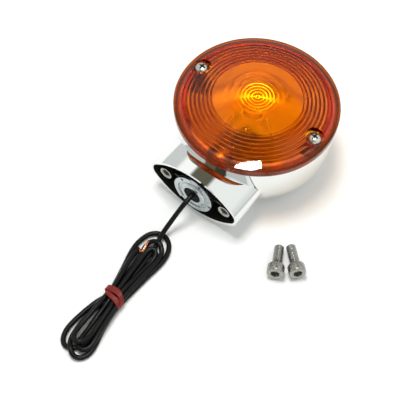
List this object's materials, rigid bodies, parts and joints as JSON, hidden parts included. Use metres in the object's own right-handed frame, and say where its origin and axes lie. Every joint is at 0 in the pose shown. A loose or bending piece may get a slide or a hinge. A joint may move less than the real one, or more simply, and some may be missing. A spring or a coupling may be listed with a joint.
{
  "type": "turn signal indicator",
  "caption": "Round flat-lens motorcycle turn signal with a chrome bowl and almond mounting stub, amber ringed lens, bayonet lamp, tied lead and loose mounting screws.",
  "frame": {"origin": "midway between the two tapped mounting bosses, on their faces", "axes": "+Z points out of the lens, +Y runs from the mounting face towards the lens axis, X runs through both mounting bosses"},
  "size_m": [0.1074, 0.1897, 0.0433],
  "materials": {
    "chrome": "bright polished chrome plate over die-cast metal",
    "amber_lens": "glossy clear amber plastic",
    "gasket_foam": "matte black foam rubber",
    "screw_steel": "bright zinc plate",
    "zinc_plate": "satin zinc plate",
    "black_rubber": "matte black rubber",
    "spring_steel": "drawn spring wire",
    "brown_phenolic": "matte brown phenolic board",
    "contact_brass": "bright brass",
    "lamp_brass": "dull nickelled brass",
    "black_glass": "glossy black glass",
    "solder": "dull solder",
    "clear_glass": "clear glass",
    "support_wire": "drawn wire",
    "tungsten": "dark tungsten",
    "wire_black": "black vinyl insulation, semi-matte",
    "tie_red": "red rubber band",
    "bare_copper": "bright bare copper",
    "stainless": "satin stainless steel"
  },
  "bodies": {
    "root": {"housing": "chrome", "lens_gasket": "gasket_foam", "socket_shell": "zinc_plate", "socket_flange": "zinc_plate", "grommet": "black_rubber", "contact_spring": "spring_steel", "lead_wire": "wire_black", "lead_hank": "wire_black", "hank_tie": "tie_red", "bare_strands": "bare_copper"},
    "lens_cover": {"lens": "amber_lens"},
    "lens_screw_left": {"lens_screw_left": "screw_steel"},
    "lens_screw_right": {"lens_screw_right": "screw_steel"},
    "contact": {"contact_plunger": "brown_phenolic", "contact_button": "contact_brass"},
    "bulb": {"bulb_base": "lamp_brass", "bulb_insulator": "black_glass", "bulb_contact": "solder", "bulb_glass": "clear_glass", "bulb_stem": "clear_glass", "filament_supports": "support_wire", "bulb_filament": "tungsten"},
    "mounting_screw_left": {"mounting_screw_left": "stainless"},
    "mounting_screw_right": {"mounting_screw_right": "stainless"}
  },
  "joints": [
    {"name": "lens_lift", "type": "slide", "parent": "root", "child": "lens_cover", "axis": [0, 0, 1], "range_m": [0, 0.03]},
    {"name": "lens_screw_left_out", "type": "slide", "parent": "lens_cover", "child": "lens_screw_left", "axis": [0, 0, 1], "range_m": [0, 0.016]},
    {"name": "lens_screw_right_out", "type": "slide", "parent": "lens_cover", "child": "lens_screw_right", "axis": [0, 0, 1], "range_m": [0, 0.016]},
    {"name": "contact_push", "type": "slide", "parent": "root", "child": "contact", "axis": [0, -1, 0], "range_m": [0, 0.0022], "stiffness_N_per_m": 1500, "springref_m": -0.001, "deforming": ["contact_spring"]},
    {"name": "bulb_turn", "type": "hinge", "parent": "contact", "child": "bulb", "pos_m": [0, 0.016, 0], "axis": [0, 1, 0], "range_deg": [0, 20]},
    {"name": "mounting_screw_left_lift", "type": "slide", "parent": "root", "child": "mounting_screw_left", "axis": [0, 0, 1], "range_m": [0, 0.03]},
    {"name": "mounting_screw_right_lift", "type": "slide", "parent": "root", "child": "mounting_screw_right", "axis": [0, 0, 1], "range_m": [0, 0.03]}
  ]
}
